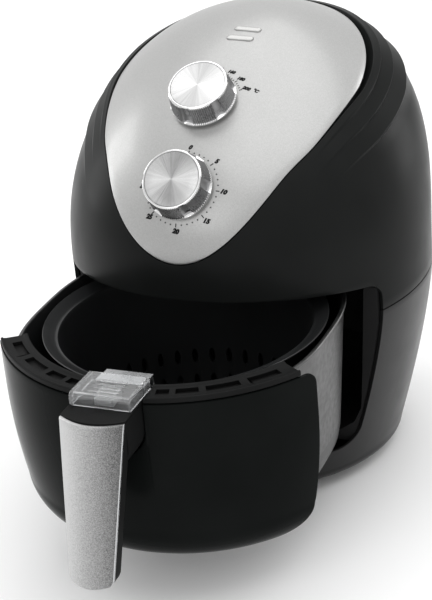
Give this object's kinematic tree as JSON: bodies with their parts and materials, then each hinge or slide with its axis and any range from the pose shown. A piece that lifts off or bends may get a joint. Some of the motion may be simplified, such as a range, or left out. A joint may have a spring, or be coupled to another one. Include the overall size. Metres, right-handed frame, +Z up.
{
  "type": "air fryer",
  "caption": "Egg-shaped countertop air fryer with a sloped panel, two dials, and a pull-out drawer holding a perforated basket with a latched handle.",
  "frame": {"origin": "centre of the bounding box's footprint, on the surface it stands on, with the drawer pulled 122 mm out", "axes": "+Z up; -Y is the front, the way the drawer pulls out; +X is the right-hand side seen from the front"},
  "size_m": [0.26, 0.4456, 0.3218],
  "materials": {
    "black_satin_plastic": "satin moulded plastic",
    "black_gloss_plastic": "polished moulded plastic",
    "dark_moulded_plastic": "fine matt texture",
    "light_grey_plastic": "light grey moulded plastic",
    "silver_lacquer": "metallic silver lacquer",
    "spun_aluminium": "radially spun face, bright rim",
    "nonstick_coating": "dark nonstick coating on pressed steel",
    "bright_steel": "bright zinc-plated steel",
    "aluminised_steel": "aluminised sheet",
    "grey_rubber": "moulded rubber",
    "clear_plastic": "clear polished plastic",
    "white_ceramic": "off-white heat-resistant moulding",
    "lacquered_copper": "lacquered winding around a laminated core"
  },
  "bodies": {
    "housing": {"upper_housing": "black_satin_plastic", "top_panel": "silver_lacquer", "lower_housing": "black_satin_plastic", "base_plate": "dark_moulded_plastic", "base_screw_1": "bright_steel", "base_screw_2": "bright_steel", "base_screw_3": "bright_steel", "base_screw_4": "bright_steel", "foot_front_left": "grey_rubber", "foot_front_right": "grey_rubber", "foot_rear_left": "grey_rubber", "foot_rear_right": "grey_rubber", "drawer_bay": "dark_moulded_plastic", "glide_rail_left": "white_ceramic", "glide_rail_right": "white_ceramic", "rear_vent_grille": "dark_moulded_plastic", "cord_gland": "grey_rubber", "power_lens": "clear_plastic", "power_lens_lamp": "white_ceramic", "heating_lens": "clear_plastic", "heating_lens_lamp": "white_ceramic", "terminal_block": "white_ceramic", "chamber_frame": "dark_moulded_plastic", "heat_reflector": "aluminised_steel", "heater_guard": "bright_steel", "heating_element": "bright_steel", "motor_bracket": "bright_steel", "motor_body": "lacquered_copper", "thermal_fuse": "white_ceramic", "timer_mechanism": "bright_steel", "timer_bell": "bright_steel", "thermostat_mechanism": "bright_steel", "drawer_switch": "dark_moulded_plastic"},
    "timer_dial": {"timer_shaft": "bright_steel", "timer_knob": "spun_aluminium", "timer_knob_cap": "spun_aluminium"},
    "thermostat_dial": {"thermostat_shaft": "bright_steel", "thermostat_knob": "spun_aluminium", "thermostat_knob_cap": "spun_aluminium"},
    "rotor": {"motor_shaft": "bright_steel", "circulation_fan": "aluminised_steel", "cooling_fan": "dark_moulded_plastic"},
    "door_plunger": {"switch_plunger": "white_ceramic"},
    "drawer": {"pan": "nonstick_coating", "front_bracket_left": "bright_steel", "front_bracket_right": "bright_steel", "latch_keeper": "bright_steel", "drawer_front": "black_gloss_plastic", "drawer_ledge": "dark_moulded_plastic"},
    "basket_unit": {"basket": "nonstick_coating", "basket_bracket": "bright_steel", "handle_screw_left": "bright_steel", "handle_screw_right": "bright_steel", "handle_core": "dark_moulded_plastic", "handle_plate": "silver_lacquer", "handle_top_cap": "dark_moulded_plastic"},
    "guard": {"button_guard": "clear_plastic"},
    "button": {"release_button": "light_grey_plastic", "button_spring": "bright_steel"},
    "bolt": {"latch_bolt": "bright_steel"}
  },
  "joints": [
    {"name": "drawer_slide", "type": "slide", "parent": "housing", "child": "drawer", "axis": [0, -1, 0], "range_m": [-0.122, 0.034]},
    {"name": "basket_lift", "type": "slide", "parent": "drawer", "child": "basket_unit", "axis": [0, 0, 1], "range_m": [0, 0.0012]},
    {"name": "guard_slide", "type": "slide", "parent": "basket_unit", "child": "guard", "axis": [0, -1, 0], "range_m": [0, 0.02]},
    {"name": "button_press", "type": "slide", "parent": "basket_unit", "child": "button", "axis": [0, 0, -1], "range_m": [0, 0.003], "stiffness_N_per_m": 400, "springref_m": -0.001, "deforming": ["button_spring"]},
    {"name": "bolt_slide", "type": "slide", "parent": "basket_unit", "child": "bolt", "axis": [0, -1, 0], "range_m": [0, 0.003]},
    {"name": "timer_turn", "type": "hinge", "parent": "housing", "child": "timer_dial", "pos_m": [0, -0.03075, 0.2446], "axis": [0, 0.7608, -0.649], "range_deg": [0, 276]},
    {"name": "thermostat_turn", "type": "hinge", "parent": "housing", "child": "thermostat_dial", "pos_m": [0, 0.02018, 0.286], "axis": [0, 0.5303, -0.8478], "range_deg": [0, 114]},
    {"name": "fan_spin", "type": "hinge", "parent": "housing", "child": "rotor", "pos_m": [0, 0.07737, 0.25], "axis": [0, 0, 1], "continuous": true},
    {"name": "plunger_slide", "type": "slide", "parent": "housing", "child": "door_plunger", "axis": [0, 1, 0], "range_m": [0, 0.0015], "stiffness_N_per_m": 200, "springref_m": -0.001}
  ],
  "couplings": [
    {"joint": "bolt_slide", "follows": "button_press", "ratio": 1}
  ]
}
